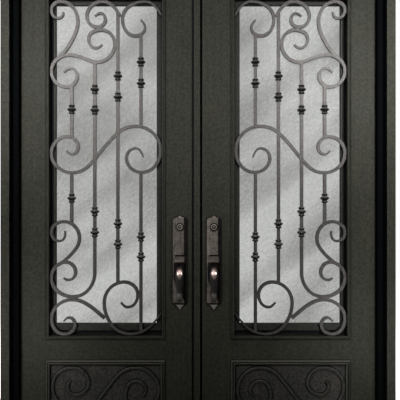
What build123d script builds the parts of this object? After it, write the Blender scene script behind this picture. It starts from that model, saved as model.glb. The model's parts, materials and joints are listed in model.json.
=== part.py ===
"""Iron double entry door: steel frame, two in-swinging leaves, forged grilles over glass.

Millimetres. +Z is up, -Y faces the street, +X is right as seen from the street.
The origin is the middle of the threshold's underside.
"""
from build123d import *
import math
import os

# Outer frame
FRAME_WIDTH = 1880
FRAME_HEIGHT = 2477
FRAME_DEPTH = 152
JAMB_FACE = 42
SILL_HEIGHT = 25
SILL_NOSE = 12
SILL_SLOPE = 40

# Stops that the leaves close against, and the seal strip on them
STOP_WIDTH = 28
STOP_FRONT = -20
STOP_BACK = 16
SEAL_THICKNESS = 3
SEAL_WIDTH = 14

# Leaves
LEAF_FRONT = 24
LEAF_THICKNESS = 50
EDGE_GAP = 5
LEAF_BOTTOM = 35
MEETING_EDGE = 20.4
PASSIVE_STILE_EDGE = 32
ASTRAGAL_EDGE = 9
ASTRAGAL_GROOVE = 12

# Rubber lips where the leaves meet, as (inner edge, outer edge, front, back), and the sweeps
LEFT_LIP = (ASTRAGAL_EDGE, 15.5, 62, 67)
RIGHT_LIP = (14.5, MEETING_EDGE, 69, 74)
LIP_LIFT = 1
SWEEP_MEETING = (13.5, 15.5)
SWEEP_DROP = 9
SWEEP_FRONT = 58
SWEEP_THICKNESS = 6

# Glass opening of one leaf, measured from the middle of the doorway
OPENING_INNER = 178
OPENING_WIDTH = 554
OPENING_BOTTOM = 616
OPENING_HEIGHT = 1656

# Kick panel of one leaf
PANEL_WIDTH = 543
PANEL_BOTTOM = 234
PANEL_HEIGHT = 241
PANEL_RECESS = 4
PANEL_RELIEF = 9

# Mouldings planted round the openings
MOULDING_WIDTH = 19.5
MOULDING_RISE = 10
PANEL_MOULDING_WIDTH = 22
PANEL_MOULDING_RISE = 9
MITRE_GAP = 0.3
# Their sections, as shares of the width outwards from the opening and of the rise
GLASS_SECTION = ((0, 0), (0, 0.75), (0.12, 1), (0.38, 1), (0.5, 0.6), (0.72, 0.6), (0.86, 0.35), (1, 0))
PANEL_SECTION = ((0, 0), (0, 0.7), (0.14, 1), (0.36, 1), (0.48, 0.5), (0.6, 0.85), (0.86, 0.7), (1, 0))

# Forged bar and its collars
BAR = 16
PANEL_BAR = 12
TIP = 8
GRILLE_FRONT = 30
BAR_LINES = (107.5, 221.5, 335.5, 449.5)
COLLAR_SIDES = 8
COLLAR_PLAY = 0.2
COLLAR_HEIGHT = 46
COLLAR_NECK = 25
# Each collar's flange and its two rings: height of the middle, width, half height, taper in degrees
COLLAR_RINGS = ((0, 45, 11, 40), (-18, 31, 5, 25), (18, 31, 5, 25))

# Glazed sash behind the grille: how far its edges stand in from the leaf's opening,
# and how far the glass's clear edges do, as (hinge side, meeting side, bottom, top)
SASH_INSET = (17, 0, 23, 0)
CLEAR_INSET = (29, 28, 59, 24)
SASH_FRONT = 48
SASH_THICKNESS = 22
SASH_BEVEL = 4
SASH_REBATE = 6
GLASS_FRONT = 62
GLASS_THICKNESS = 6
SASH_SEAL = 8

# Hinges
HINGE_X = 895.5
HINGE_Y = 86
HINGE_RADIUS = 9
HINGE_PIN_RADIUS = 5
HINGE_PIN_PLAY = 0.05
KNUCKLE = 60
KNUCKLE_PLAY = 1
HINGE_HEIGHTS = (260, 1235, 2210)
TAB_WIDTH = 17

# Handle sets: heights above the floor, and sizes
HANDLE_X = {"left": -90, "right": 77}
PLATE_TOP = 1209
PLATE_TOP_SHOULDER = 1184
PLATE_BOTTOM_SHOULDER = 784
PLATE_BOTTOM = 744
PLATE_WIDTH = 70
PLATE_THICKNESS = 8
# Its ogee ends, as (share of the half width, distance past the shoulder)
PLATE_TOP_OGEE = ((1, 0), (0.87, 9), (0.5, 14), (0.22, 18), (0, PLATE_TOP - PLATE_TOP_SHOULDER))
PLATE_BOTTOM_OGEE = ((1, 0), (0.87, -9), (0.6, -14), (0.3, -24), (0, PLATE_BOTTOM - PLATE_BOTTOM_SHOULDER))
CYLINDER_Z = 1153
CYLINDER_RADIUS = 20
CYLINDER_RISE = 12
KEY_PLUG_RADIUS = 8
KEY_PLUG_RISE = 2
CYLINDER_CHAMFER = 3
KEYWAY = (2.5, 11)
THUMB_Z = 1006
THUMB_WIDTH = 46
THUMB_THICKNESS = 5
THUMB_ROOT = 3
THUMB_RISE = 2
THUMB_REACH = 24
THUMB_LIP = 4.5
THUMB_SLOT_HEIGHT = 18
THUMB_SLOT_PLAY = 1.5
GRIP_TOP = 948
GRIP_BOTTOM = 794
GRIP_REACH = 46
GRIP_LEAN = 4
GRIP_SIDES = 16
GRIP_BEND = 30
GRIP_HALF_DEPTH = 8
# Half widths of the grip's oval section along its line, from its top foot to its lower one
GRIP_SECTIONS = ((0, 16), (0.08, 18), (0.14, 19.5), (0.2, 20.5), (0.27, 20.5), (0.34, 20), (0.55, 16),
                 (0.7, 12.5), (0.77, 11), (0.84, 10.5), (0.91, 10.5), (1, 11))
FOOT_RADIUS = 14
FOOT_RISE = 4
# Inside fittings: the knob opposite the thumb piece and the thumb turn opposite the cylinder,
# as (height, rose radius, neck radius, knob radius, chamfer, length)
INSIDE_FITTINGS = ((THUMB_Z, 32, 11, 27, 5.5, 60), (CYLINDER_Z, 26, 6, 14, 3, 30))
ROSE_THICKNESS = 8

half_width = FRAME_WIDTH / 2
jamb_inner = half_width - JAMB_FACE
soffit = FRAME_HEIGHT - JAMB_FACE
depth_half = FRAME_DEPTH / 2
leaf_outer = jamb_inner - EDGE_GAP
leaf_top = soffit - EDGE_GAP
leaf_back = LEAF_FRONT + LEAF_THICKNESS
opening_outer = OPENING_INNER + OPENING_WIDTH
opening_top = OPENING_BOTTOM + OPENING_HEIGHT
opening_middle = OPENING_INNER + OPENING_WIDTH / 2
panel_top = PANEL_BOTTOM + PANEL_HEIGHT
panel_outer = opening_middle + PANEL_WIDTH / 2

# Scrolls of the glass grille: middle line through (across, up, heading in degrees),
# measured from the opening's lower corner on the hinge side.
# Each has a start width and an end width, because free tips are drawn down.
GRILLE_SCROLLS = (
    (((67, 1596, -85), (42, 1566, 180), (8, 1605, 90), (55, 1648, 0), (138, 1551, -90),
      (99, 1439, -120), (35, 1360, -132)), TIP, BAR),
    (((68, 1299, 42), (103, 1319, 0), (135, 1282, -90), (82, 1227, 180), (8, 1305, 90),
      (94, 1385, 0), (170, 1368, -21), (232, 1349, 0), (320, 1438, 90), (255, 1508, 180),
      (191, 1464, -90), (227, 1419, 0), (258, 1436, 45)), TIP, TIP),
    (((222, 1576, 38), (250, 1590, 0), (274, 1559, -90), (234, 1522, 180), (183, 1576, 90),
      (259, 1648, 0), (346, 1576, -68)), TIP, BAR),
    (((549, 1581, 115), (468, 1648, 180), (358, 1561, -90), (423, 1479, 0), (470, 1520, 90),
      (449, 1558, 135)), TIP, TIP),
    (((81, 913, -52), (108, 894, 0), (140, 931, 90), (84, 981, 180), (8, 900, -90),
      (111, 803, 0), (251, 907, 52.5), (424, 1033, 0), (546, 914, -90), (453, 805, 180),
      (378, 876, 90), (423, 924, 0), (462, 880, -70)), TIP, TIP),
    (((74, 516, -76), (46, 466, 180), (8, 510, 90), (69, 562, 0), (146, 480, -90),
      (101, 396, -135), (42, 349, -148)), TIP, BAR),
    (((221.5, 309, -90), (114, 191, 180), (8, 285, 90), (79, 362, 0), (127, 311, -90),
      (90, 274, 180), (68, 283, 150)), BAR, TIP),
    (((68, 70, 47), (94, 88, 0), (124, 54, -90), (71, 8, 180), (8, 83, 90),
      (111, 177, 0), (210, 136, -38), (271, 85, -41)), TIP, BAR),
    (((350, 163, -46), (384, 140, 0), (434, 201, 90), (367, 264, 180), (268, 161, -90),
      (399, 8, 0), (550, 113, 60)), TIP, TIP),
)
# Straight bars: which bar line, lower end, upper end
GRILLE_BARS = ((0, 550, 803), (0, 975, 1235), (1, 305, 1349), (2, 258, 1595),
               (3, 22, 805), (3, 1030, 1488))
# Collars on each bar line, by height
GRILLE_COLLARS = ((678, 1116), (509, 612, 1113, 1215), (451, 552, 1177, 1281),
                  (388, 487, 1245, 1350))
# The flat scroll on the kick panel, from the panel's lower corner on the hinge side
PANEL_SCROLL = ((98, 162, -120), (85, 133, -90), (124, 92, 0), (188, 152, 90),
                (109, 226, 180), (11, 135, -90), (136, 12, 0), (259, 96, 54),
                (420, 226, 0), (533, 113, -90), (439, 17, 180), (369, 89, 90),
                (420, 160, 0), (470, 116, -90), (453, 85, -135))


def unit(heading):
    """Direction of a heading in radians."""
    return Vector(math.cos(heading), math.sin(heading))


def tangent_arcs(start, end):
    """Two arcs that leave start and reach end along their headings, as (from, heading, to)."""
    p, q = Vector(start[0], start[1]), Vector(end[0], end[1])
    first, second = unit(math.radians(start[2])), unit(math.radians(end[2]))
    gap = q - p
    both = first + second
    spread = 2 * (1 - first.dot(second))
    along = gap.dot(both)
    if spread < 1e-6:
        reach = gap.dot(gap) / (2 * along)
    else:
        reach = (math.sqrt(along * along + spread * gap.dot(gap)) - along) / spread
    meeting = (p + first * reach + q - second * reach) * 0.5
    turn = arc_turn(p, math.radians(start[2]), meeting)
    return (p, math.radians(start[2]), meeting), (meeting, math.radians(start[2]) + turn, q)


def arc_turn(start, heading, end):
    """How far an arc turns that leaves start along heading and passes through end."""
    chord = end - start
    along = unit(heading)
    side = Vector(-along.Y, along.X)
    return 2 * math.atan2(chord.dot(side), chord.dot(along))


def stations(knots, start_width, end_width, body_width):
    """Points, headings and widths at both ends and the middle of every arc of a scroll.

    The width grows from each end to the body's over the two stretches next to it.
    """
    widths = [body_width] * len(knots)
    widths[0], widths[1] = start_width, (start_width + body_width) / 2
    widths[-1], widths[-2] = end_width, (end_width + body_width) / 2
    rows = []
    for index, (knot, following) in enumerate(zip(knots, knots[1:])):
        growth = widths[index + 1] - widths[index]
        for step, (a, heading, b) in enumerate(tangent_arcs(knot, following)):
            turn = arc_turn(a, heading, b)
            half_chord = (b - a).length / 2 / math.cos(turn / 4)
            middle = a + unit(heading + turn / 4) * half_chord
            low = widths[index] + growth * step / 2
            high = widths[index] + growth * (step + 1) / 2
            rows.append(((a, heading, low), (middle, heading + turn / 2, (low + high) / 2),
                         (b, heading + turn, high)))
    return rows


def beside(station, hand):
    """The outline's point beside a station, on the left for hand 1 or the right for -1."""
    point, heading, width = station
    return point + unit(heading + hand * math.pi / 2) * (width / 2)


def scroll_face(knots, start_width, end_width, body_width=BAR):
    """Adds one forged scroll to the sketch that is open."""
    rows = stations(knots, start_width, end_width, body_width)
    with BuildLine() as outline:
        for hand in (1, -1):
            here = beside(rows[0][0], hand)
            for _, middle, end in rows:
                there = beside(end, hand)
                ThreePointArc(here, beside(middle, hand), there)
                here = there
        Line(beside(rows[0][0], 1), beside(rows[0][0], -1))
        Line(beside(rows[-1][2], 1), beside(rows[-1][2], -1))
    make_face(outline.edges())


def export(piece, name):
    """Labels one finished piece and writes it."""
    piece.part.label = name
    export_step(piece.part, f"parts/{name}.step")


def export_pair(piece, name):
    """Writes a left leaf's piece and its mirror image on the right leaf."""
    export(piece, f"left_{name}")
    with BuildPart() as twin:
        mirror(piece.part, about=Plane.YZ)
    export(twin, f"right_{name}")


def span_box(low, high):
    """A box between two corners, added to the part that is open."""
    size = [b - a for a, b in zip(low, high)]
    middle = tuple((a + b) / 2 for a, b in zip(low, high))
    with Locations(middle):
        Box(*size)


def front_plane(x, y, z):
    """A plane that faces the street, with its local up along +Z."""
    return Plane(origin=(x, y, z), x_dir=(1, 0, 0), z_dir=(0, -1, 0))


def moulding_ring(width, height, bottom, band, rise, section):
    """Four mitred lengths of a moulding round an opening of the left leaf."""
    left, right = -opening_middle - width / 2, -opening_middle + width / 2
    with BuildPart() as ring:
        with BuildLine(front_plane(0, LEAF_FRONT, 0)) as path:
            Polyline((-opening_middle, bottom), (right, bottom), (right, bottom + height),
                     (left, bottom + height), (left, bottom), (-opening_middle, bottom))
        with BuildSketch(Plane(origin=(-opening_middle, LEAF_FRONT, bottom),
                               x_dir=(0, 0, -1), z_dir=(-1, 0, 0))):
            with BuildLine():
                Polyline(*[(across * band, up * rise) for across, up in section], close=True)
            make_face()
        sweep(path=path.wire(), transition=Transition.RIGHT)
        for x, out in ((left, -1), (right, 1)):
            for z, up in ((bottom, -1), (bottom + height, 1)):
                corner = front_plane(x + out * band / 2, LEAF_FRONT, z + up * band / 2)
                with BuildSketch(corner):
                    Rectangle(MITRE_GAP, 4 * band, rotation=-45 * out * up)
                extrude(amount=band, both=True, mode=Mode.SUBTRACT)
    return ring


def inset_frame(insets, grow=0):
    """Adds to the open sketch the left leaf's opening, taken in by four insets and grown again."""
    hinge_side, meeting_side, bottom, top = insets
    low = (-opening_outer + hinge_side - grow, OPENING_BOTTOM + bottom - grow)
    high = (-OPENING_INNER - meeting_side + grow, opening_top - top + grow)
    with Locations(((low[0] + high[0]) / 2, (low[1] + high[1]) / 2)):
        Rectangle(high[0] - low[0], high[1] - low[1])


os.makedirs("parts", exist_ok=True)

# Jambs, head and threshold
for side, sign in (("left", -1), ("right", 1)):
    with BuildPart() as jamb:
        with BuildSketch(Plane.XY.offset(SILL_HEIGHT)):
            with Locations((sign * (jamb_inner + half_width) / 2, 0)):
                Rectangle(JAMB_FACE, FRAME_DEPTH)
        extrude(amount=FRAME_HEIGHT - SILL_HEIGHT)
    export(jamb, f"jamb_{side}")

    with BuildPart() as stop:
        with BuildSketch(Plane.XY.offset(SILL_HEIGHT)):
            with Locations((sign * (jamb_inner - STOP_WIDTH / 2), (STOP_FRONT + STOP_BACK) / 2)):
                Rectangle(STOP_WIDTH, STOP_BACK - STOP_FRONT)
        extrude(amount=soffit - SILL_HEIGHT)
    export(stop, f"stop_{side}")

with BuildPart() as head_jamb:
    span_box((-jamb_inner, -depth_half, soffit), (jamb_inner, depth_half, FRAME_HEIGHT))
export(head_jamb, "head_jamb")

with BuildPart() as stop_head:
    span_box((-jamb_inner + STOP_WIDTH, STOP_FRONT, soffit - STOP_WIDTH),
             (jamb_inner - STOP_WIDTH, STOP_BACK, soffit))
export(stop_head, "stop_head")

with BuildPart() as threshold:
    with BuildSketch(Plane.YZ):
        with BuildLine():
            Polyline((-depth_half, 0), (depth_half, 0), (depth_half, SILL_HEIGHT),
                     (-depth_half + SILL_SLOPE, SILL_HEIGHT), (-depth_half, SILL_NOSE), close=True)
        make_face()
    extrude(amount=half_width, both=True)
    # Flat seats under the jambs' front corners
    for sign in (-1, 1):
        span_box((min(sign * jamb_inner, sign * half_width), -depth_half, 0),
                 (max(sign * jamb_inner, sign * half_width), 0, SILL_HEIGHT))
export(threshold, "threshold")

seal_middle = jamb_inner - STOP_WIDTH / 2 + EDGE_GAP / 2
with BuildPart() as weatherstrip:
    for sign in (-1, 1):
        span_box((sign * seal_middle - SEAL_WIDTH / 2, STOP_BACK, LEAF_BOTTOM),
                 (sign * seal_middle + SEAL_WIDTH / 2, STOP_BACK + SEAL_THICKNESS, leaf_top))
    seal_reach = seal_middle - SEAL_WIDTH
    span_box((-seal_reach, STOP_BACK, leaf_top - SEAL_WIDTH - EDGE_GAP),
             (seal_reach, STOP_BACK + SEAL_THICKNESS, leaf_top - EDGE_GAP))
export(weatherstrip, "weatherstrip")

# Leaf stiles, rails and the astragal on the left leaf
with BuildPart() as hinge_stile:
    span_box((-leaf_outer, LEAF_FRONT, LEAF_BOTTOM), (-opening_outer, leaf_back, leaf_top))
export_pair(hinge_stile, "hinge_stile")

for side, low, high in (("left", -OPENING_INNER, -PASSIVE_STILE_EDGE),
                        ("right", MEETING_EDGE, OPENING_INNER)):
    with BuildPart() as lock_stile:
        span_box((low, LEAF_FRONT, LEAF_BOTTOM), (high, leaf_back, leaf_top))
    export(lock_stile, f"{side}_lock_stile")

with BuildPart() as astragal:
    with BuildSketch(Plane.XY.offset(LEAF_BOTTOM)):
        with BuildLine():
            Polyline((-PASSIVE_STILE_EDGE, leaf_back),
                     (-PASSIVE_STILE_EDGE, LEAF_FRONT + ASTRAGAL_GROOVE),
                     (-MEETING_EDGE, LEAF_FRONT + ASTRAGAL_GROOVE),
                     (-MEETING_EDGE, LEAF_FRONT), (ASTRAGAL_EDGE, LEAF_FRONT),
                     (ASTRAGAL_EDGE, leaf_back), close=True)
        make_face()
    extrude(amount=leaf_top - LEAF_BOTTOM)
export(astragal, "left_astragal")

# Rubber on each leaf's free edges: the lip of one passes just in front of the other's
for side, lip, reach in (("left", LEFT_LIP, (-leaf_outer, SWEEP_MEETING[0])),
                         ("right", RIGHT_LIP, (SWEEP_MEETING[1], leaf_outer))):
    with BuildPart() as edge_seals:
        span_box((lip[0], lip[2], LEAF_BOTTOM + LIP_LIFT), (lip[1], lip[3], leaf_top))
        span_box((reach[0], SWEEP_FRONT, LEAF_BOTTOM - SWEEP_DROP),
                 (reach[1], SWEEP_FRONT + SWEEP_THICKNESS, LEAF_BOTTOM))
    export(edge_seals, f"{side}_edge_seals")

with BuildPart() as rails:
    for low, high in ((LEAF_BOTTOM, PANEL_BOTTOM), (panel_top, OPENING_BOTTOM),
                      (opening_top, leaf_top)):
        span_box((-opening_outer, LEAF_FRONT, low), (-OPENING_INNER, leaf_back, high))
export_pair(rails, "rails")

with BuildPart() as kick_panel:
    span_box((-opening_outer, LEAF_FRONT + PANEL_RECESS, PANEL_BOTTOM),
             (-OPENING_INNER, leaf_back - PANEL_RECESS, panel_top))
export_pair(kick_panel, "kick_panel")

# Mouldings round the openings
export_pair(moulding_ring(OPENING_WIDTH, OPENING_HEIGHT, OPENING_BOTTOM,
                          MOULDING_WIDTH, MOULDING_RISE, GLASS_SECTION), "glass_moulding")
export_pair(moulding_ring(PANEL_WIDTH, PANEL_HEIGHT, PANEL_BOTTOM,
                          PANEL_MOULDING_WIDTH, PANEL_MOULDING_RISE, PANEL_SECTION), "kick_moulding")

# Flat scroll on the kick panel
with BuildPart() as kick_scroll:
    with BuildSketch(front_plane(-panel_outer, LEAF_FRONT + PANEL_RECESS, PANEL_BOTTOM)):
        scroll_face(PANEL_SCROLL, TIP, TIP, PANEL_BAR)
    extrude(amount=PANEL_RELIEF)
export_pair(kick_scroll, "kick_scroll")

# Forged grille: scrolls and bars welded in one plane
with BuildPart() as grille:
    with BuildSketch(front_plane(-opening_outer, GRILLE_FRONT + BAR, OPENING_BOTTOM)):
        for knots, start_width, end_width in GRILLE_SCROLLS:
            scroll_face(knots, start_width, end_width)
        for line, low, high in GRILLE_BARS:
            with Locations((BAR_LINES[line], (low + high) / 2)):
                Rectangle(BAR, high - low)
    extrude(amount=BAR)
export_pair(grille, "grille")

# Collars: two small rings with a sharp-edged flange between them, threaded on the square bars
with BuildPart() as collar:
    with BuildSketch():
        RegularPolygon(COLLAR_NECK / 2, COLLAR_SIDES)
    extrude(amount=COLLAR_HEIGHT / 2, both=True)
    for height, width, half, taper in COLLAR_RINGS:
        with BuildPart(mode=Mode.PRIVATE) as ring:
            with BuildSketch():
                RegularPolygon(width / 2, COLLAR_SIDES)
            extrude(amount=half, taper=taper)
            mirror(about=Plane.XY)
        with Locations((0, 0, height)):
            add(ring.part)
    with BuildSketch():
        Rectangle(BAR + COLLAR_PLAY, BAR + COLLAR_PLAY)
    extrude(amount=COLLAR_HEIGHT, both=True, mode=Mode.SUBTRACT)

with BuildPart() as collars:
    places = [(-opening_outer + BAR_LINES[line], GRILLE_FRONT + BAR / 2, OPENING_BOTTOM + height)
              for line, heights in enumerate(GRILLE_COLLARS) for height in heights]
    with Locations(*places):
        add(collar.part)
export_pair(collars, "collars")

# Sash that holds the glass, its rubber seal, and the glass in its rebate
sash_back = SASH_FRONT + SASH_THICKNESS
with BuildPart() as sash:
    with BuildSketch(front_plane(0, sash_back, 0)):
        inset_frame(SASH_INSET)
    extrude(amount=SASH_THICKNESS)
    with BuildSketch(front_plane(0, sash_back, 0)):
        inset_frame(CLEAR_INSET)
    extrude(amount=SASH_THICKNESS, mode=Mode.SUBTRACT)
    chamfer(sash.faces().sort_by(Axis.Y)[0].inner_wires()[0].edges(), SASH_BEVEL)
    with BuildSketch(front_plane(0, sash_back, 0)):
        inset_frame(CLEAR_INSET, SASH_REBATE)
    extrude(amount=sash_back - GLASS_FRONT, mode=Mode.SUBTRACT)
export_pair(sash, "sash")

with BuildPart() as sash_seal:
    with BuildSketch(front_plane(0, leaf_back, 0)):
        inset_frame((0, 0, 0, 0))
    extrude(amount=SASH_SEAL)
    with BuildSketch(front_plane(0, leaf_back, 0)):
        inset_frame(SASH_INSET)
    extrude(amount=SASH_SEAL, mode=Mode.SUBTRACT)
export_pair(sash_seal, "sash_seal")

with BuildPart() as glass:
    with BuildSketch(front_plane(0, GLASS_FRONT + GLASS_THICKNESS, 0)):
        inset_frame(CLEAR_INSET, SASH_REBATE)
    extrude(amount=GLASS_THICKNESS)
export_pair(glass, "glass")

# Barrel hinges on the inner side: lower knuckle and pin on the jamb, upper knuckle on the leaf
with BuildPart() as jamb_knuckles:
    for height in HINGE_HEIGHTS:
        with BuildSketch(Plane.XY.offset(height - KNUCKLE)):
            with Locations((-HINGE_X, HINGE_Y)):
                Circle(HINGE_RADIUS)
            with Locations((-jamb_inner - TAB_WIDTH / 2, (depth_half + HINGE_Y) / 2)):
                Rectangle(TAB_WIDTH, HINGE_Y - depth_half)
        extrude(amount=KNUCKLE)
        with BuildSketch(Plane.XY.offset(height)):
            with Locations((-HINGE_X, HINGE_Y)):
                Circle(HINGE_PIN_RADIUS)
        extrude(amount=KNUCKLE - KNUCKLE_PLAY)
export_pair(jamb_knuckles, "jamb_knuckles")

with BuildPart() as leaf_knuckles:
    for height in HINGE_HEIGHTS:
        with BuildSketch(Plane.XY.offset(height + KNUCKLE_PLAY)):
            with Locations((-HINGE_X, HINGE_Y)):
                Circle(HINGE_RADIUS)
            with Locations((-leaf_outer + TAB_WIDTH / 2, (leaf_back + HINGE_Y) / 2)):
                Rectangle(TAB_WIDTH, HINGE_Y - leaf_back)
            with Locations((-HINGE_X, HINGE_Y)):
                Circle(HINGE_PIN_RADIUS + HINGE_PIN_PLAY, mode=Mode.SUBTRACT)
        extrude(amount=KNUCKLE)
export_pair(leaf_knuckles, "leaf_knuckles")

# Handle sets, the same way round on both leaves
plate_front = LEAF_FRONT - PLATE_THICKNESS
half_plate = PLATE_WIDTH / 2
turns = [2 * math.pi * side / GRIP_SIDES for side in range(GRIP_SIDES)]
oval = [(math.cos(turn), math.sin(turn)) for turn in turns]
thumb_root = THUMB_ROOT - LEAF_FRONT
for side, x in HANDLE_X.items():
    with BuildPart() as handle_plate:
        with BuildSketch(front_plane(x, LEAF_FRONT, 0)):
            with BuildLine():
                Line((half_plate, PLATE_BOTTOM_SHOULDER), (half_plate, PLATE_TOP_SHOULDER))
                for shoulder, ogee in ((PLATE_TOP_SHOULDER, PLATE_TOP_OGEE),
                                       (PLATE_BOTTOM_SHOULDER, PLATE_BOTTOM_OGEE)):
                    points = [(share * half_plate, shoulder + past) for share, past in ogee]
                    ThreePointArc(*points[:3])
                    ThreePointArc(*points[2:])
                mirror(about=Plane.YZ)
            make_face()
        extrude(amount=PLATE_THICKNESS)
        with BuildSketch(front_plane(x, LEAF_FRONT, THUMB_Z)):
            Rectangle(THUMB_WIDTH + 2 * THUMB_SLOT_PLAY, THUMB_SLOT_HEIGHT)
        extrude(amount=PLATE_THICKNESS, mode=Mode.SUBTRACT)
    export(handle_plate, f"{side}_handle_plate")

    with BuildPart() as lock_cylinder:
        with BuildSketch(front_plane(x, plate_front, CYLINDER_Z)):
            Circle(CYLINDER_RADIUS)
        extrude(amount=CYLINDER_RISE)
        chamfer(lock_cylinder.faces().sort_by(Axis.Y)[0].edges(), CYLINDER_CHAMFER)
        with BuildSketch(front_plane(x, plate_front - CYLINDER_RISE, CYLINDER_Z)):
            Circle(KEY_PLUG_RADIUS)
        extrude(amount=KEY_PLUG_RISE)
        with BuildSketch(front_plane(x, plate_front - CYLINDER_RISE - KEY_PLUG_RISE, CYLINDER_Z)):
            Rectangle(*KEYWAY)
        extrude(amount=-CYLINDER_RISE / 2, mode=Mode.SUBTRACT)
    export(lock_cylinder, f"{side}_lock_cylinder")

    # The thumb piece is a bowed tongue that tips on its inner edge
    with BuildPart() as thumb_piece:
        with BuildSketch(Plane(origin=(x, 0, THUMB_Z), x_dir=(0, -1, 0), z_dir=(-1, 0, 0))):
            with BuildLine():
                over = ThreePointArc((thumb_root, THUMB_RISE), (THUMB_RISE, 0),
                                     (THUMB_REACH, THUMB_RISE - THUMB_REACH))
                under = ThreePointArc((THUMB_REACH - THUMB_LIP, -THUMB_REACH), (0, -THUMB_THICKNESS),
                                      (thumb_root, THUMB_RISE - THUMB_THICKNESS))
                Line(over @ 1, under @ 0)
                Line(under @ 1, over @ 0)
            make_face()
        extrude(amount=THUMB_WIDTH / 2, both=True)
    export(thumb_piece, f"{side}_thumb_piece")

    # The grip swells at its upper bend and narrows to its lower foot
    with BuildPart() as pull_grip:
        rise = Plane(origin=(x, plate_front, 0), x_dir=(0, -1, 0), z_dir=(-1, 0, 0))
        with BuildLine(rise) as grip_line:
            FilletPolyline((0, GRIP_TOP), (GRIP_REACH, GRIP_TOP), (GRIP_REACH - GRIP_LEAN, GRIP_BOTTOM),
                           (0, GRIP_BOTTOM), radius=GRIP_BEND)
        wire = grip_line.wire()
        for along, half in GRIP_SECTIONS:
            with BuildSketch(Plane(origin=wire @ along, x_dir=(1, 0, 0), z_dir=wire % along)):
                Polygon(*[(half * wide, GRIP_HALF_DEPTH * deep) for wide, deep in oval])
        loft(ruled=True)
        with BuildSketch(front_plane(x, plate_front, GRIP_BOTTOM)):
            Circle(FOOT_RADIUS)
        extrude(amount=FOOT_RISE)
    export(pull_grip, f"{side}_pull_grip")

    with BuildPart() as inside_trim:
        for height, rose, neck, knob, bevel, length in INSIDE_FITTINGS:
            for radius, start, end in ((rose, 0, ROSE_THICKNESS), (neck, ROSE_THICKNESS, length / 2),
                                       (knob, length / 2, length)):
                with BuildSketch(front_plane(x, leaf_back + start, height)):
                    Circle(radius)
                extrude(amount=start - end)
            chamfer(inside_trim.edges().group_by(Axis.Y)[-1], bevel)
    export(inside_trim, f"{side}_inside_trim")
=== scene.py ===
"""Looks of the iron double entry door: finishes, smooth collars, light and camera. Metres."""
import json
import math

import bpy
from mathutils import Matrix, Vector


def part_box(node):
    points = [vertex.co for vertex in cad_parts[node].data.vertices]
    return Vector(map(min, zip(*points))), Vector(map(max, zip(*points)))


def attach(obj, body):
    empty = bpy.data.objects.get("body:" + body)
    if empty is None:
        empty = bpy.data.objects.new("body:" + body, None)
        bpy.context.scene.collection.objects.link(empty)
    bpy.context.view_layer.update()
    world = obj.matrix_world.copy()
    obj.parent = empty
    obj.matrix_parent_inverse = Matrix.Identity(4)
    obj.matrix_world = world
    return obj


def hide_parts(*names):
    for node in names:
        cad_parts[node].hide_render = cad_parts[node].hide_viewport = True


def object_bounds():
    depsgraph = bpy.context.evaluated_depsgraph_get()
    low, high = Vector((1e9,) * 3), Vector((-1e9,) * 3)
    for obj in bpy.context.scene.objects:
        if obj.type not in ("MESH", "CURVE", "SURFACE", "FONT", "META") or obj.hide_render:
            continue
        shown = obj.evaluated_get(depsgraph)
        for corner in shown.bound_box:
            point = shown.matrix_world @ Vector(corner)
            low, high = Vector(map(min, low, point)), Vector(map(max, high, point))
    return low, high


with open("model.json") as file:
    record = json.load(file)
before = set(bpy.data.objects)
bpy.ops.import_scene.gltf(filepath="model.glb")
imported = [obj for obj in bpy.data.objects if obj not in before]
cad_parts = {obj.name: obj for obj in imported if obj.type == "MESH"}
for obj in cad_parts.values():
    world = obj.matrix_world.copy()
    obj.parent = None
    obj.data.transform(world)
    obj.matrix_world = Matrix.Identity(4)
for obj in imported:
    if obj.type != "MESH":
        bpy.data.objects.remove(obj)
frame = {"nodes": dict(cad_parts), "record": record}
cad_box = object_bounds()

SIDES = ("left", "right")

# Nodes that the looks are measured from
plate_low, plate_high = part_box("left_handle_plate")
grip_low, grip_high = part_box("left_pull_grip")
thumb_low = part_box("left_thumb_piece")[0]
pane_low, pane_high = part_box("right_glass")

# The frame's inner faces, which are painted near black as shade, and how softly that painted shade begins
JAMB_FACE = 0.042
JAMB_INNER = cad_box[1].x - JAMB_FACE
SOFFIT = cad_box[1].z - JAMB_FACE
REVEAL_FADE = (0.0015, 0.0003)

# Camera: the photograph's axis, its distance from the frame's front, and its angle of view
CAMERA_PLACE = (0.009, -2.976, 1.285)
CAMERA_LENS = 54.9
SENSOR_WIDTH = 36.0

# Light: a dim sky, brighter from the left; on each side a soft box, a low fill and a lamp on the
# door's inner side; and two lamps, spark and rim, that only gloss shows. The right side is brighter.
SKY = 0.12
SKY_LEFT = 3.0
SKY_RIGHT = 0.25
SOFTBOX_POWER = 8.3
SOFTBOX_PLACE = (0.98, -1.9, 2.3)
SOFTBOX_AIM = (1.0, 0.0, 1.8)
SOFTBOX_SIZE = (0.4, 0.7)
SOFTBOX_SPREAD = math.radians(80)
SIDE_SHARES = {"left": 1.0, "right": 1.13}
LOW_FILL_POWER = 0.5
LOW_FILL_PLACE = (0.92, -0.75, 0.6)
LOW_FILL_AIM = (0.85, 0.0, 0.6)
LOW_FILL_SIZE = (0.3, 0.5)
RIM_POWER = 2.2
RIM_PLACE = (-1.7, -0.75, 1.3)
RIM_AIM = (0.0, 0.0, 1.1)
RIM_SIZE = (0.4, 1.8)
SPARK_POWER = 3.4
SPARK_PLACE = (0.0, -0.85, 2.4)
SPARK_AIM = (0.0, 0.0, 0.95)
SPARK_SIZE = (0.22, 2.4)
INSIDE_POWER = 45.0
INSIDE_PLACE = (2.2, 2.6, 2.2)
INSIDE_AIM = (0.0, 0.0, 1.1)
INSIDE_SIZE = (1.4, 1.8)
FLOOR_SIZE = 14.0
FLOOR_GLOW = 0.86
FLOOR_PALE = (0.8, 0.8, 0.8)
FLOOR_DIM = (0.2, 0.2, 0.2)
BLACK = (0.0, 0.0, 0.0)
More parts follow.
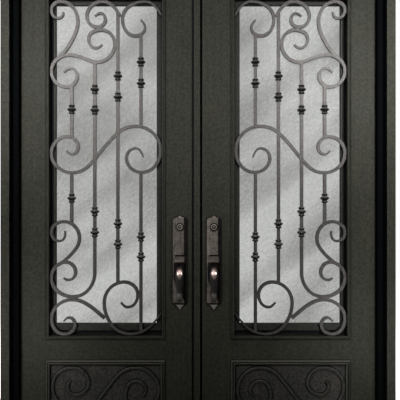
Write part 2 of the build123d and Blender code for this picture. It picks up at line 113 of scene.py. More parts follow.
WHITE = (1.0, 1.0, 1.0)

# Finishes, linear colours
PAINT = (0.062, 0.062, 0.046)
PAINT_DARK = (0.022, 0.022, 0.0165)
# Painted shade: the near black put on the frame's inner faces, the stops, corners, shaded edges, plates and
# lock rings
SHADE_BLACK = (0.0035, 0.0045, 0.005)
PANEL = (0.095, 0.092, 0.082)
PANEL_DARK = (0.012, 0.012, 0.0105)
PANEL_RUST = (0.1, 0.075, 0.06)
SASH = (0.05, 0.05, 0.045)
# Paler paint of worn edges, also used as the painted highlight on lit edges
WEAR_AND_HIGHLIGHT = (0.22, 0.21, 0.18)
IRON = (0.112, 0.102, 0.097)
IRON_DARK = (0.04, 0.037, 0.034)
COLLAR = (0.03, 0.03, 0.026)
COLLAR_DARK = (0.006, 0.006, 0.0055)
# Painted highlight on the collars' upward slopes
COLLAR_LIT_TOP = (0.19, 0.18, 0.165)
BRONZE = (0.5, 0.43, 0.38)
BRONZE_DARK = (0.07, 0.056, 0.047)
# Painted light on the grip's lower foot
LIT_FOOT_BRONZE = (0.5, 0.49, 0.45)
# Painted light on the plates' pointed ends
PLATE_LIT_TIP = (0.5, 0.47, 0.43)
CYLINDER = (0.85, 0.75, 0.65)
GRIP = (0.14, 0.125, 0.118)
GRIP_DARK = (0.045, 0.044, 0.045)
# Painted highlight on the grip's upper bend
GRIP_HIGHLIGHT = (0.85, 0.64, 0.58)
RUBBER = (0.006, 0.006, 0.006)
SILL = (0.055, 0.048, 0.04)
# The glass's painted light and shade, from its pale to its dark tone
GLASS_LIGHT = (0.6, 0.61, 0.595)
GLASS_SHADE = (0.24, 0.24, 0.228)

# Paint: clouds, specks, rusty patches, worn places and dents to a metre, brushed streaks to a metre
# along each axis, and the shares of clouds, streaks and specks in its tone
CLOUDS = 5.0
SPECKS = 75.0
FINE_SPECKS = 130.0
RUST_PATCHES = 14.0
WORN_PLACES = 35.0
PAINT_DENTS = 450.0
STREAKS = (90.0, 90.0, 2.2)
BRUSH_MARKS = (300.0, 300.0, 12.0)
PAINT_SHARES = (0.25, 0.2, 0.55)
PAINT_GRAIN = 0.00025
PANEL_GRAIN = 0.0012

# Corners: how far the painted soft shade and the painted black shadow line of a corner reach
CORNER_SHADE = 0.014
CORNER_LINE = 0.008

# Forged iron: hammer dents, pits and grain to a metre, and the shares of the first two in its tone
HAMMER_DENTS = 75.0
PITS = 330.0
IRON_GRAIN = 420.0
IRON_SHARES = (0.55, 0.45)

# Bronze: patina and grain to a metre, drawn lines to a metre along each axis, and the shares of
# patina and lines in its tone
PATINA = 38.0
BRONZE_GRAIN = 500.0
DRAWN_LINES = (260.0, 260.0, 14.0)
BRONZE_SHARES = (0.6, 0.4)

# Slanting bands of painted light and shade in the glass and its finer ripples of tone: their rise to the
# right, their sizes along that, in depth and across, where the bands begin, and the shares of both in the
# tone
BAND_RISE = math.radians(36)
BAND_SIZE = (1.6, 1.0, 0.34)
BAND_SHIFT = (0.0, 0.0, 0.22)
RIPPLE_RISE = math.radians(50)
RIPPLE_SIZE = (1 / 60, 1 / 100, 1 / 125)
GLASS_SHARES = (0.64, 0.36)
# A painted shade high on each pane, towards the meeting stiles, and one over its half sizes
GLASS_SHADED = (pane_low.x + 0.01, 0.0, pane_high.z - 0.204)
GLASS_SHADED_SCALE = (5.5, 0.0, 4.5)

# Widths of the eased edges of each finish, their steps, the angle from which an edge is eased, and
# the angle up to which faces are one flat
EASED_EDGES = {"frame_steel": 0.0015, "door_steel": 0.001, "panel_steel": 0.0012, "forged_iron": 0.004,
               "sash_steel": 0.001, "bronze": 0.0015, "sill_bronze": 0.001}
EASED_STEPS = 3
EASED_FROM = math.radians(35)
FLAT_UP_TO = math.radians(1)
SAME_POINT = 0.00001

# The way towards which the kick panel's relief takes a painted highlight, with painted shade on edges
# turned away
PAINTED_LIGHT_FROM = (-0.6, 0.0, 0.8)

# Handle plate: its half width, the flat part of that, the drop of its sloping sides and how softly
# the painted shade on the right one begins
PLATE_HALF = (plate_high.x - plate_low.x) / 2
PLATE_FLAT = 0.019
PLATE_PILLOW = 0.0134
PLATE_SHADE_FADE = 0.004
# The painted shadow line above the plate's pointed end, its half width, and where the end is painted pale
# as lit below it
PLATE_SHADOW_LINE = plate_low.z + 0.0315
PLATE_SHADOW_LINE_HALF = (0.003, 0.005)
PLATE_LIT_TIP_FADE = (0.003, 0.006)

# Painted shadow rings on the lock cylinder: their radii and half widths
SHADOW_RING_RADII = (0.0165, 0.007)
SHADOW_RING_HALF = (0.002, 0.004)

# A collar's outline as height and radius, upwards from its middle
COLLAR_OUTLINE = ((0.0, 0.0225), (0.0022, 0.0222), (0.006, 0.0178), (0.0095, 0.0135), (0.0118, 0.0118),
                  (0.0132, 0.0128), (0.0152, 0.0148), (0.018, 0.0155), (0.0208, 0.0148), (0.0224, 0.013),
                  (0.023, 0.0105))
COLLAR_GAP = 0.02
ROUND_SIDES = 28

# Grip: the middles of its feet, how far it stands off the plate, its bends, and half widths along it
GRIP_HALF_DEPTH = 0.008
GRIP_TOP = grip_high.z - GRIP_HALF_DEPTH
GRIP_FOOT = grip_low.z + 0.014
GRIP_ROOT = plate_low.y
GRIP_STAND = (GRIP_ROOT - 0.046, GRIP_ROOT - 0.042)
GRIP_BEND = 0.030
GRIP_WIDTHS = ((0, 0.016), (0.12, 0.019), (0.28, 0.0205), (0.42, 0.0195), (0.56, 0.016), (0.7, 0.0125),
               (0.82, 0.0105), (0.845, 0.0125), (0.87, 0.0108), (0.895, 0.0125), (0.92, 0.0105), (1, 0.011))
GRIP_STEPS = 72
BEND_STEPS = 12
# Heights above the lower foot between which the grip turns grey with painted light
GRIP_LIT_FOOT = (0.03, 0.045)
# Middle height of the painted highlight on its upper bend, and one over the highlight's half sizes
GRIP_HIGHLIGHT_PLACE = GRIP_TOP - 0.014
GRIP_HIGHLIGHT_SCALE = (62.0, 0.0, 28.0)
# Painted shadow on the plate behind the grip, up to the thumb piece: from where to where, how much lower
# that begins for each metre to the right, its soft ends, and its clear margins
PLATE_SHADOW = (GRIP_FOOT + 0.031, thumb_low.z)
PLATE_SHADOW_SLANT = 2.0
PLATE_SHADOW_FADE = (0.012, 0.006)
PLATE_MARGIN = (0.003, 0.006)


class Shader:
    """One node material, built by name."""

    def __init__(self, name):
        self.material = bpy.data.materials.new(name)
        self.material.use_nodes = True
        self.tree = self.material.node_tree
        self.surface = self.tree.nodes["Principled BSDF"]
        self.coordinates = self.node("ShaderNodeTexCoord").outputs["Object"]

    def node(self, kind, inputs=None, **settings):
        """Adds a node, sets its properties, and sets or links its inputs."""
        made = self.tree.nodes.new(kind)
        for key, value in settings.items():
            setattr(made, key, value)
        for key, value in (inputs or {}).items():
            self.put(made.inputs[key], value)
        return made

    def put(self, socket, value):
        """Links an output to a socket, or sets the socket's own value."""
        if isinstance(value, bpy.types.NodeSocket):
            self.tree.links.new(value, socket)
        elif hasattr(socket.default_value, "__len__") and len(socket.default_value) == 4:
            socket.default_value = (*value, 1.0)
        else:
            socket.default_value = value

    def set(self, **values):
        """Sets or links inputs of the surface; underscores in names stand for spaces."""
        for key, value in values.items():
            self.put(self.surface.inputs[key.replace("_", " ")], value)

    def stretched(self, scale):
        """The object's coordinates, scaled unevenly."""
        mapping = self.node("ShaderNodeMapping", {"Vector": self.coordinates, "Scale": scale})
        return mapping.outputs["Vector"]

    def slanted(self, rise, scale, shift=(0.0, 0.0, 0.0)):
        """The object's coordinates, moved, turned to rise to the right and scaled unevenly."""
        inputs = {"Vector": self.coordinates, "Scale": scale, "Location": shift,
                  "Rotation": (0.0, -rise, 0.0)}
        return self.node("ShaderNodeMapping", inputs, vector_type="TEXTURE").outputs["Vector"]

    def noise(self, scale, detail=3.0, vector=None, roughness=0.5):
        """Plain noise from 0 to 1."""
        made = self.node("ShaderNodeTexNoise", {"Vector": vector or self.coordinates, "Scale": scale,
                                                "Detail": detail, "Roughness": roughness})
        return made.outputs["Fac"]

    def spread(self, value, low, high, to_low=0.0, to_high=1.0):
        """Stretches a value's range from low..high to another one, and clamps it."""
        made = self.node("ShaderNodeMapRange", {"Value": value, "From Min": low, "From Max": high,
                                                "To Min": to_low, "To Max": to_high})
        return made.outputs["Result"]

    def math(self, operation, a, b):
        """A sum, product or other mix of two values."""
        made = self.node("ShaderNodeMath", {0: a, 1: b}, operation=operation)
        return made.outputs["Value"]

    def weighted(self, values, shares):
        """A sum of values, each times its share."""
        parts = [self.math("MULTIPLY", value, share) for value, share in zip(values, shares)]
        total = parts[0]
        for part in parts[1:]:
            total = self.math("ADD", total, part)
        return total

    def apart(self, value, middle):
        """How far a value is from a middle one, either way."""
        return self.math("ABSOLUTE", self.math("SUBTRACT", value, middle), 0.0)

    def axes(self):
        """The object's coordinates one by one."""
        return self.node("ShaderNodeSeparateXYZ", {0: self.coordinates}).outputs

    def mix(self, factor, a, b):
        """A colour between a and b."""
        made = self.node("ShaderNodeMix", data_type="RGBA")
        for index, value in ((0, factor), (6, a), (7, b)):
            self.put(made.inputs[index], value)
        return made.outputs[2]

    def crevices(self, reach, open_at=0.9, shut_at=0.35):
        """0 in tight corners and 1 in the open."""
        made = self.node("ShaderNodeAmbientOcclusion", {"Distance": reach}, samples=8)
        return self.spread(made.outputs["AO"], shut_at, open_at)

    def lean(self, radius):
        """How far a rounded edge leans to the upper left of its own piece, or with a minus away."""
        bevel = self.node("ShaderNodeBevel", {"Radius": radius}, samples=6).outputs["Normal"]
        own = self.node("ShaderNodeVectorTransform", {"Vector": bevel}, vector_type="NORMAL",
                        convert_from="WORLD", convert_to="OBJECT").outputs["Vector"]
        return self.vectors("DOT_PRODUCT", own, PAINTED_LIGHT_FROM)["Value"]

    def vectors(self, operation, a, b=(0.0, 0.0, 0.0)):
        """The two outputs, vector and value, of a sum, product or other mix of two vectors."""
        return self.node("ShaderNodeVectorMath", {0: a, 1: b}, operation=operation).outputs

    def reach(self, centre, per_metre, mirrored=False):
        """How far a point lies from a centre, each axis first multiplied by its own number."""
        place = self.coordinates
        if mirrored:
            place = self.vectors("ABSOLUTE", place)["Vector"]
        off = self.vectors("SUBTRACT", place, centre)["Vector"]
        off = self.vectors("MULTIPLY", off, per_metre)["Vector"]
        return self.vectors("LENGTH", off)["Value"]

    def edges(self, radius):
        """1 along sharp edges and 0 on flats."""
        bevel = self.node("ShaderNodeBevel", {"Radius": radius}, samples=4).outputs["Normal"]
        normal = self.node("ShaderNodeNewGeometry").outputs["Normal"]
        return self.spread(self.vectors("DOT_PRODUCT", bevel, normal)["Value"], 0.995, 0.9)

    def bump(self, height, distance, strength=1.0, below=None):
        """A bump in metres, on top of another one."""
        inputs = {"Height": height, "Distance": distance, "Strength": strength}
        if below:
            inputs["Normal"] = below
        return self.node("ShaderNodeBump", inputs).outputs["Normal"]


def shade(colour, share):
    """A colour made darker or paler."""
    return tuple(min(1.0, share * part) for part in colour)


def painted(name, light, dark, roughness, rub_amount, grain=PAINT_GRAIN, rub_reach=0.0025, reveal=False,
            rust=None, shine=0.12, specks_per_metre=SPECKS, painted_lit_edges=False):
    """Brushed-on metal paint: mottled, with painted shade in corners, rubbed paler along its edges.

    Its upper left edges can take a painted highlight and its lower right ones painted shade, and the
    frame's inner faces a painted shade near black.
    """
    shader = Shader(name)
    clouds = shader.spread(shader.noise(CLOUDS, 8.0, roughness=0.65), 0.3, 0.7)
    streaks = shader.spread(shader.noise(1.0, 5.0, shader.stretched(STREAKS)), 0.3, 0.72)
    specks = shader.spread(shader.noise(specks_per_metre, 4.0, roughness=0.65), 0.36, 0.64)
    colour = shader.mix(shader.weighted((clouds, streaks, specks), PAINT_SHARES), dark, light)
    if rust:
        patches = shader.spread(shader.noise(RUST_PATCHES, 5.0), 0.54, 0.7)
        colour = shader.mix(shader.math("MULTIPLY", patches, specks), colour, rust)
    chance = shader.spread(shader.noise(WORN_PLACES, 5.0), 0.38, 0.62, 0.4 * rub_amount, 1.0)
    worn = shader.math("MULTIPLY", shader.edges(rub_reach), chance)
    colour = shader.mix(shader.math("MULTIPLY", worn, rub_amount), colour, WEAR_AND_HIGHLIGHT)
    # Painted light and shade: lower right edges darker, upper left ones paler
    if painted_lit_edges:
        lean = shader.lean(rub_reach)
        colour = shader.mix(shader.spread(lean, -0.12, -0.45, 0.0, 0.8), colour, SHADE_BLACK)
        colour = shader.mix(shader.spread(lean, 0.15, 0.5, 0.0, 0.75), colour, WEAR_AND_HIGHLIGHT)
    # Painted shade: a soft shade and a black shadow line in corners
    colour = shader.mix(shader.crevices(CORNER_SHADE, 0.95), SHADE_BLACK, colour)
    colour = shader.mix(shader.crevices(CORNER_LINE, 0.93, 0.66), SHADE_BLACK, colour)
    # Painted shade: the frame's inner faces near black
    if reveal:
        colour = shader.mix(inside_the_frame(shader), colour, SHADE_BLACK)
    relief = shader.bump(shader.noise(PAINT_DENTS, 3.0), grain)
    relief = shader.bump(shader.noise(1.0, 4.0, shader.stretched(BRUSH_MARKS)), grain, 0.5, relief)
    shader.set(Base_Color=colour, Roughness=shader.spread(clouds, 0, 1, roughness - 0.07, roughness + 0.09),
               Normal=relief, Specular_IOR_Level=shine)
    return shader.material


def inside_the_frame(shader):
    """1 on the frame's inner faces and 0 on the others."""
    axes = shader.axes()
    begins, ends = REVEAL_FADE
    between_jambs = shader.spread(shader.apart(axes["X"], 0.0), JAMB_INNER + begins, JAMB_INNER + ends)
    below_head = shader.spread(axes["Z"], SOFFIT + begins, SOFFIT + ends)
    return shader.math("MULTIPLY", between_jambs, below_head)


def forged(name, light, dark, roughness, metallic, rim=None, upper=None):
    """Hammered iron: soft facets, dark in the hollows; its rims can take painted shade and its upper slopes
    a painted highlight.
    """
    shader = Shader(name)
    dents = shader.noise(HAMMER_DENTS, 2.0)
    pits = shader.spread(shader.noise(PITS, 4.0), 0.35, 0.65)
    tone = shader.weighted((shader.spread(dents, 0.3, 0.65), pits), IRON_SHARES)
    tone = shader.math("MULTIPLY", tone, shader.crevices(0.012))
    colour = shader.mix(tone, dark, light)
    # Painted shade along the rounded edges
    if rim:
        colour = shader.mix(shader.edges(0.006), colour, rim)
    # Painted highlight on the slopes that face upwards
    if upper:
        normal = shader.node("ShaderNodeNewGeometry").outputs["Normal"]
        upwards = shader.node("ShaderNodeSeparateXYZ", {0: normal}).outputs["Z"]
        colour = shader.mix(shader.spread(upwards, 0.25, 0.9), colour, upper)
    relief = shader.bump(dents, 0.0012, 0.8)
    relief = shader.bump(shader.noise(IRON_GRAIN, 3.0), 0.0003, 0.8, relief)
    shader.set(Base_Color=colour, Metallic=metallic, Normal=relief,
               Roughness=shader.spread(pits, 0, 1, roughness + 0.12, roughness - 0.08))
    return shader.material


def rain_glass(name):
    """Rolled glass: fine irregular ripples, and painted light and shade in its tone, in soft slanting bands
    and ripples.
    """
    shader = Shader(name)
    bands = shader.noise(1.5, 1.5, shader.slanted(BAND_RISE, BAND_SIZE, BAND_SHIFT))
    cells = shader.noise(1.0, 3.0, shader.slanted(RIPPLE_RISE, RIPPLE_SIZE), roughness=0.6)
    parts = (shader.spread(bands, 0.4, 0.58, 0.05, 0.85), shader.spread(cells, 0.35, 0.65))
    tone = shader.weighted(parts, GLASS_SHARES)
    # Painted shade high on each pane
    off_shade = shader.reach(GLASS_SHADED, GLASS_SHADED_SCALE, mirrored=True)
    tone = shader.math("MULTIPLY", tone, shader.spread(off_shade, 0.35, 1.0, 0.6, 1.0))
    shader.set(Base_Color=shader.mix(tone, GLASS_SHADE, GLASS_LIGHT), Roughness=0.2,
               Normal=shader.bump(cells, 0.002, 0.6), Transmission_Weight=1.0, IOR=1.12,
               Specular_IOR_Level=0.15)
    return shader.material


def bronze(name, light, dark, roughness, metallic=0.75, wear=0.6, plate=None, grip=None, rings=None):
    """Dark patinated bronze, rubbed to warm metal where edges wear it, with painted light and shade on
    plates, grips and cylinders.

    A plate or a grip is given by its middle across, and a ringed lock cylinder by its middle.
    """
    shader = Shader(name)
    patina = shader.spread(shader.noise(PATINA, 7.0, roughness=0.7), 0.36, 0.66)
    drawn = shader.spread(shader.noise(1.0, 4.0, shader.stretched(DRAWN_LINES)), 0.3, 0.7)
    tone = shader.weighted((patina, drawn), BRONZE_SHARES)
    tone = shader.math("MULTIPLY", tone, shader.crevices(0.01))
    colour = shader.mix(tone, dark, light)
    worn = shader.math("MULTIPLY", shader.edges(0.002), wear)
    colour = shader.mix(worn, colour, shade(light, 1.8))
    relief = shader.bump(shader.noise(BRONZE_GRAIN, 3.0), 0.00015, 0.6)
    if plate is not None:
        colour, relief = plate_face(shader, plate, colour, relief)
    if rings is not None:
        colour = cylinder_shadow_rings(shader, rings, colour)
    if grip is not None:
        colour = grip_highlights(shader, grip, colour)
    shader.set(Base_Color=colour, Metallic=metallic, Normal=relief,
               Roughness=shader.spread(patina, 0, 1, roughness + 0.1, roughness - 0.06))
    return shader.material


def plate_face(shader, middle, colour, relief):
    """A handle plate slopes off to its sides; painted shade darkens it behind its grip, on its right and
    above its end, whose tip is painted pale as lit.
    """
    axes = shader.axes()
    right = shader.math("SUBTRACT", axes["X"], middle)
    aside = shader.math("ABSOLUTE", right, 0.0)
    slope = shader.spread(aside, PLATE_FLAT, PLATE_HALF, 1.0, 0.0)
    relief = shader.bump(slope, PLATE_PILLOW, 1.0, relief)
    # Painted shadow behind the grip
    lowered = shader.math("ADD", axes["Z"], shader.math("MULTIPLY", right, PLATE_SHADOW_SLANT))
    above = shader.spread(lowered, PLATE_SHADOW[0], PLATE_SHADOW[0] + PLATE_SHADOW_FADE[0])
    below = shader.spread(axes["Z"], PLATE_SHADOW[1], PLATE_SHADOW[1] - PLATE_SHADOW_FADE[1])
    inside = shader.spread(aside, PLATE_HALF - PLATE_MARGIN[0], PLATE_HALF - PLATE_MARGIN[1])
    shadowed = shader.math("MULTIPLY", shader.math("MULTIPLY", above, below), inside)
    # A painted shadow line above the plate's end
    off_line = shader.apart(axes["Z"], PLATE_SHADOW_LINE)
    line = shader.spread(off_line, PLATE_SHADOW_LINE_HALF[1], PLATE_SHADOW_LINE_HALF[0])
    # Painted shade on the plate's right side
    side = shader.spread(right, PLATE_FLAT, PLATE_FLAT + PLATE_SHADE_FADE, 0.0, 0.7)
    for shaded_part in (line, side):
        shadowed = shader.math("MAXIMUM", shadowed, shaded_part)
    # The end below that line is painted pale as lit
    lit_tip = shader.spread(axes["Z"], PLATE_SHADOW_LINE - PLATE_LIT_TIP_FADE[0], PLATE_SHADOW_LINE - PLATE_LIT_TIP_FADE[1])
    colour = shader.mix(lit_tip, colour, PLATE_LIT_TIP)
    return shader.mix(shader.math("MULTIPLY", shadowed, 0.9), colour, SHADE_BLACK), relief


def cylinder_shadow_rings(shader, middle, colour):
    """Painted shadow in dark rings around a lock cylinder's middle."""
    radius = shader.reach(middle, (1.0, 0.0, 1.0))
    for ring in SHADOW_RING_RADII:
        away = shader.apart(radius, ring)
        colour = shader.mix(shader.spread(away, SHADOW_RING_HALF[1], SHADOW_RING_HALF[0]), colour, SHADE_BLACK)
    return colour


def grip_highlights(shader, middle, colour):
    """A grip's painted highlight on its upper bend, and painted light that turns its lower foot grey."""
    off_highlight = shader.reach((middle, 0.0, GRIP_HIGHLIGHT_PLACE), GRIP_HIGHLIGHT_SCALE)
    colour = shader.mix(shader.spread(off_highlight, 1.0, 0.55), colour, GRIP_HIGHLIGHT)
    lit_foot = shader.spread(shader.axes()["Z"], GRIP_FOOT + GRIP_LIT_FOOT[1], GRIP_FOOT + GRIP_LIT_FOOT[0])
    return shader.mix(lit_foot, colour, LIT_FOOT_BRONZE)


def rubber(name):
    """Matt black seal with a faint bloom."""
    shader = Shader(name)
    bloom = shader.spread(shader.noise(60.0, 5.0), 0.3, 0.8)
    shader.set(Base_Color=shader.mix(bloom, RUBBER, shade(RUBBER, 2.2)), Roughness=0.8,
               Specular_IOR_Level=0.2, Normal=shader.bump(shader.noise(700.0, 2.0), 0.0002))
    return shader.material


FINISHES = {
    "frame_steel": painted("frame_paint", PAINT, PAINT_DARK, 0.5, 0.35, reveal=True),
    "door_steel": painted("door_paint", PAINT, PAINT_DARK, 0.5, 0.35),
    "sash_steel": painted("sash_paint", SASH, PAINT_DARK, 0.42, 0.3),
    "panel_steel": painted("panel_paint", PANEL, PANEL_DARK, 0.5, 0.5, PANEL_GRAIN, rust=PANEL_RUST,
                           specks_per_metre=FINE_SPECKS),
    # Bars and scrolls: their rims darkened as painted shade
    "forged_iron": forged("forged_iron", IRON, IRON_DARK, 0.45, 0.35, rim=IRON_DARK),
    "collar_iron": forged("collar_iron", COLLAR, COLLAR_DARK, 0.36, 0.3, upper=COLLAR_LIT_TOP),
    "rain_glass": rain_glass("rain_glass"),
    "bronze": bronze("bronze", BRONZE, BRONZE_DARK, 0.38),
    "seal_rubber": rubber("seal_rubber"),
    "sill_bronze": painted("sill_bronze", SILL, PAINT_DARK, 0.38, 0.4),
}
# Painted shade: a darker copy of the bronze for the thumb pieces
shaded_thumb_bronze = bronze("shaded_thumb_bronze", shade(BRONZE, 0.4), BRONZE_DARK, 0.65, 0.5, 0.1)
# Kick relief: its upper left edges take a painted highlight, its lower right ones painted shade
scroll_paint = painted("kick_scroll_paint", PANEL, PANEL_DARK, 0.4, 0.2, rub_reach=0.004,
                       specks_per_metre=FINE_SPECKS, painted_lit_edges=True)
# Kick moulding: its strong edge rub stands for wear and for painted highlights on its ridges, with painted
# light and shade
moulding_paint = painted("kick_moulding_paint", PAINT, PAINT_DARK, 0.45, 0.9, rub_reach=0.002,
                         painted_lit_edges=True)
# Painted shade: near black paint for the stops
painted_shade_black = painted("painted_shade_black", SHADE_BLACK, shade(SHADE_BLACK, 0.5), 0.8, 0.0, shine=0.03)


def middle_of(piece):
    """The middle of a piece's own box."""
    corners = [vertex.co for vertex in piece.data.vertices]
    return [(min(c[axis] for c in corners) + max(c[axis] for c in corners)) / 2 for axis in range(3)]


def finish_of(name, slot, piece):
    """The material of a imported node: its slot's, or one of its own."""
    # The stops take the painted shade black
    if name.startswith("stop_"):
        return painted_shade_black
    if name.endswith("_kick_scroll"):
        return scroll_paint
    if name.endswith("_kick_moulding"):
        return moulding_paint
    if name.endswith("_thumb_piece"):
        return shaded_thumb_bronze
    if name.endswith("_handle_plate"):
        return bronze(f"{name}_bronze", BRONZE, BRONZE_DARK, 0.34, 0.92, plate=middle_of(piece)[0])
    if name.endswith("_lock_cylinder"):
        return bronze(f"{name}_bronze", CYLINDER, BRONZE_DARK, 0.4, 0.6, 0.4, rings=middle_of(piece))
    return FINISHES[slot]


def ease_edges(piece, width):
    """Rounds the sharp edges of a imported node, after making its flats whole."""
    weld = piece.modifiers.new("weld", "WELD")
    weld.merge_threshold = SAME_POINT
    merge = piece.modifiers.new("whole_faces", "DECIMATE")
    merge.decimate_type = "DISSOLVE"
    merge.angle_limit = FLAT_UP_TO
    bevel = piece.modifiers.new("eased_edges", "BEVEL")
    bevel.width = width
    bevel.segments = EASED_STEPS
    bevel.limit_method = "ANGLE"
    bevel.angle_limit = EASED_FROM


def dress_nodes():
    """Gives every carried-over node its finish, and eases the sharp edges of the metal."""
    for row in frame["record"]["subparts"]:
        piece = frame["nodes"][row["node"]]
        piece.data.materials.clear()
        piece.data.materials.append(finish_of(row["node"], row["material_slot"], piece))
        if row["material_slot"] in EASED_EDGES:
            ease_edges(piece, EASED_EDGES[row["material_slot"]])


def runs(values, gap):
    """Lowest and highest value of each run of values that lie within a gap of each other."""
    ordered = sorted(values)
    found = [[ordered[0], ordered[0]]]
    for value in ordered[1:]:
        if value - found[-1][1] > gap:
            found.append([value, value])
        found[-1][1] = value
    return found


def mesh_piece(name, points, faces, material, body, *nodes):
    """A smooth piece that rides on a body and stands for CAD nodes."""
    mesh = bpy.data.meshes.new(name)
    mesh.from_pydata(points, [], faces)
    mesh.validate()
    mesh.shade_smooth()
    mesh.materials.append(material)
    piece = bpy.data.objects.new(name, mesh)
    bpy.context.scene.collection.objects.link(piece)
    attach(piece, body)
    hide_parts(*nodes)
    return piece


def ring_faces(first, rings, sides):
    """Quads between rings of points, and a cap on each end."""
    faces = [(first + ring * sides + k, first + ring * sides + (k + 1) % sides,
              first + (ring + 1) * sides + (k + 1) % sides, first + (ring + 1) * sides + k)
             for ring in range(rings - 1) for k in range(sides)]
    faces.append(tuple(first + k for k in reversed(range(sides))))
    faces.append(tuple(first + (rings - 1) * sides + k for k in range(sides)))
    return faces


def turned_collars(side):
    """Smooth turned collars in the places of the leaf's plain ones."""
    node = frame["nodes"][f"{side}_collars"]
    corners = [vertex.co for vertex in node.data.vertices]
    middle_y = middle_of(node)[1]
    lower = [(-height, radius) for height, radius in reversed(COLLAR_OUTLINE[1:])]
    outline = lower + list(COLLAR_OUTLINE)
    points, faces = [], []
    for low_x, high_x in runs([c.x for c in corners], COLLAR_GAP):
        column = [c.z for c in corners if low_x <= c.x <= high_x]
        for low_z, high_z in runs(column, COLLAR_GAP):
            middle = Vector(((low_x + high_x) / 2, middle_y, (low_z + high_z) / 2))
            first = len(points)
            for height, radius in outline:
                for k in range(ROUND_SIDES):
                    turn = 2 * math.pi * k / ROUND_SIDES
                    off = Vector((radius * math.cos(turn), radius * math.sin(turn), height))
                    points.append(middle + off)
            faces += ring_faces(first, len(outline), ROUND_SIDES)
    mesh_piece(f"{side}_turned_collars", points, faces, FINISHES["collar_iron"], f"{side}_leaf", node.name)


def grip_line():
    """The grip's middle line from its upper foot to its lower one, as points (y, z)."""
    line = [(GRIP_ROOT, GRIP_TOP)]
    corners = ((GRIP_STAND[0], GRIP_TOP, 90), (GRIP_STAND[1], GRIP_FOOT, 180))
    for y, z, start in corners:
        centre = (y + GRIP_BEND, z - GRIP_BEND if start == 90 else z + GRIP_BEND)
        for step in range(BEND_STEPS + 1):
            turn = math.radians(start + 90 * step / BEND_STEPS)
            line.append((centre[0] + GRIP_BEND * math.cos(turn), centre[1] + GRIP_BEND * math.sin(turn)))
    line.append((GRIP_ROOT, GRIP_FOOT))
    return line


def along_line(line, share):
    """The point and direction at a share of a line's length."""
    lengths = [math.dist(a, b) for a, b in zip(line, line[1:])]
    rest = share * sum(lengths)
    for (a, b), length in zip(zip(line, line[1:]), lengths):
        if rest <= length or b == line[-1]:
            part = min(1.0, rest / length)
            point = tuple(p + (q - p) * part for p, q in zip(a, b))
            return point, tuple((q - p) / length for p, q in zip(a, b))
        rest -= length


def between(table, share):
    """A value read from a table of (share, value), with soft turns."""
    for (low, first), (high, second) in zip(table, table[1:]):
        if share <= high:
            part = (share - low) / (high - low)
            part = part * part * (3 - 2 * part)
            return first + (second - first) * part
    return table[-1][1]


def smooth_grip(side):
    """The pull grip, swept smoothly along its bowed line."""
    node = frame["nodes"][f"{side}_pull_grip"]
    middle_x = middle_of(node)[0]
    line = grip_line()
    points = []
    for step in range(GRIP_STEPS + 1):
        share = step / GRIP_STEPS
        (y, z), (along_y, along_z) = along_line(line, share)
        half = between(GRIP_WIDTHS, share)
        for k in range(ROUND_SIDES):
            turn = 2 * math.pi * k / ROUND_SIDES
            wide, deep = half * math.cos(turn), GRIP_HALF_DEPTH * math.sin(turn)
            points.append((middle_x + wide, y - deep * along_z, z + deep * along_y))
    faces = ring_faces(0, GRIP_STEPS + 1, ROUND_SIDES)
    material = bronze(f"{side}_grip_bronze", GRIP, GRIP_DARK, 0.3, 0.9, grip=middle_x)
    mesh_piece(f"{side}_smooth_grip", points, faces, material, f"{side}_leaf", node.name)


def lit_world():
    """White to the camera and through glass; to the rest a dim sky, brighter from the left."""
    world = bpy.data.worlds.new("studio")
    bpy.context.scene.world = world
    world.use_nodes = True
    tree = world.node_tree
    tree.nodes.clear()
    direction = tree.nodes.new("ShaderNodeTexCoord")
    parts = tree.nodes.new("ShaderNodeSeparateXYZ")
    sideways = tree.nodes.new("ShaderNodeMapRange")
    sideways.inputs["From Min"].default_value = -1.0
    sideways.inputs["To Min"].default_value = SKY * SKY_LEFT
    sideways.inputs["To Max"].default_value = SKY * SKY_RIGHT
    path = tree.nodes.new("ShaderNodeLightPath")
    plain = tree.nodes.new("ShaderNodeMath")
    plain.operation = "MAXIMUM"
    level = tree.nodes.new("ShaderNodeMix")
    level.inputs[3].default_value = 1.0
    background = tree.nodes.new("ShaderNodeBackground")
    output = tree.nodes.new("ShaderNodeOutputWorld")
    links = ((direction.outputs["Generated"], parts.inputs[0]),
             (parts.outputs["X"], sideways.inputs["Value"]),
             (sideways.outputs["Result"], level.inputs[2]),
             (path.outputs["Is Camera Ray"], plain.inputs[0]),
             (path.outputs["Is Transmission Ray"], plain.inputs[1]),
             (plain.outputs["Value"], level.inputs[0]),
             (level.outputs[0], background.inputs["Color"]),
             (background.outputs[0], output.inputs["Surface"]))
    for source, target in links:
        tree.links.new(source, target)


def area_lamp(name, place, target, size, power, spread=math.pi, on_matt=True):
    """A lamp that looks at a point, unseen itself; off matt surfaces, only gloss shows it."""
    data = bpy.data.lights.new(name, "AREA")
    data.shape = "RECTANGLE"
    data.size, data.size_y = size
    data.energy = power
    data.spread = spread
    lamp = bpy.data.objects.new(name, data)
    lamp.location = place
    lamp.rotation_euler = (Vector(target) - Vector(place)).to_track_quat("-Z", "Y").to_euler()
    lamp.visible_camera = False
    lamp.visible_transmission = False
    lamp.visible_diffuse = on_matt
    bpy.context.scene.collection.objects.link(lamp)


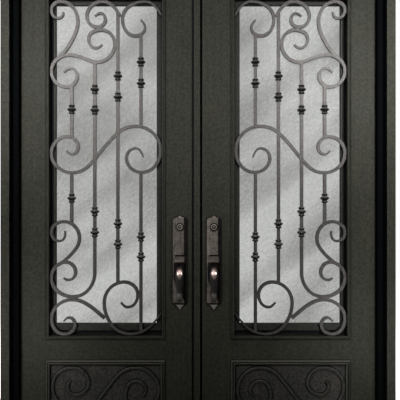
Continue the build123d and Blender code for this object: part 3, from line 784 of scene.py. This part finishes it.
def studio_lamps():
    """The lamps of each side, and the two that only gloss shows."""
    front = (("softbox", SOFTBOX_PLACE, SOFTBOX_AIM, SOFTBOX_SIZE, SOFTBOX_POWER),
             ("low_fill", LOW_FILL_PLACE, LOW_FILL_AIM, LOW_FILL_SIZE, LOW_FILL_POWER))
    for side, sign in zip(SIDES, (-1, 1)):
        for name, place, aim, size, power in front:
            here, there = ((sign * x, y, z) for x, y, z in (place, aim))
            area_lamp(f"{side}_{name}", here, there, size, power * SIDE_SHARES[side], SOFTBOX_SPREAD)
        inside = (sign * INSIDE_PLACE[0], *INSIDE_PLACE[1:])
        area_lamp(f"{side}_inside", inside, INSIDE_AIM, INSIDE_SIZE, INSIDE_POWER)
    area_lamp("spark", SPARK_PLACE, SPARK_AIM, SPARK_SIZE, SPARK_POWER, on_matt=False)
    area_lamp("rim", RIM_PLACE, RIM_AIM, RIM_SIZE, RIM_POWER, on_matt=False)


def pale_floor():
    """A plain floor: near white, with the door's shadow, to the camera; dim to other rays."""
    mesh = bpy.data.meshes.new("floor")
    half = FLOOR_SIZE / 2
    mesh.from_pydata([(-half, -half, 0), (half, -half, 0), (half, half, 0), (-half, half, 0)], [],
                     [(0, 1, 2, 3)])
    floor = bpy.data.objects.new("floor", mesh)
    bpy.context.scene.collection.objects.link(floor)
    shader = Shader("floor")
    path = shader.node("ShaderNodeLightPath")
    to_camera, through_glass = path.outputs["Is Camera Ray"], path.outputs["Is Transmission Ray"]
    glow = shader.math("ADD", shader.math("MULTIPLY", to_camera, FLOOR_GLOW), through_glass)
    colour = shader.mix(to_camera, FLOOR_DIM, FLOOR_PALE)
    shader.set(Base_Color=shader.mix(through_glass, colour, BLACK), Roughness=0.9,
               Specular_IOR_Level=0.1, Emission_Color=WHITE, Emission_Strength=glow)
    mesh.materials.append(shader.material)


def photo_camera():
    """The photograph's view: square on, a little above the lock."""
    data = bpy.data.cameras.new("camera")
    data.lens = CAMERA_LENS
    data.sensor_width = SENSOR_WIDTH
    camera = bpy.data.objects.new("camera", data)
    camera.location = CAMERA_PLACE
    camera.rotation_euler = (math.radians(90), 0, 0)
    bpy.context.scene.collection.objects.link(camera)
    bpy.context.scene.camera = camera


photo_camera()
lit_world()
studio_lamps()
pale_floor()
dress_nodes()
for side in SIDES:
    turned_collars(side)
    smooth_grip(side)

bpy.context.scene.view_settings.view_transform = "Standard"
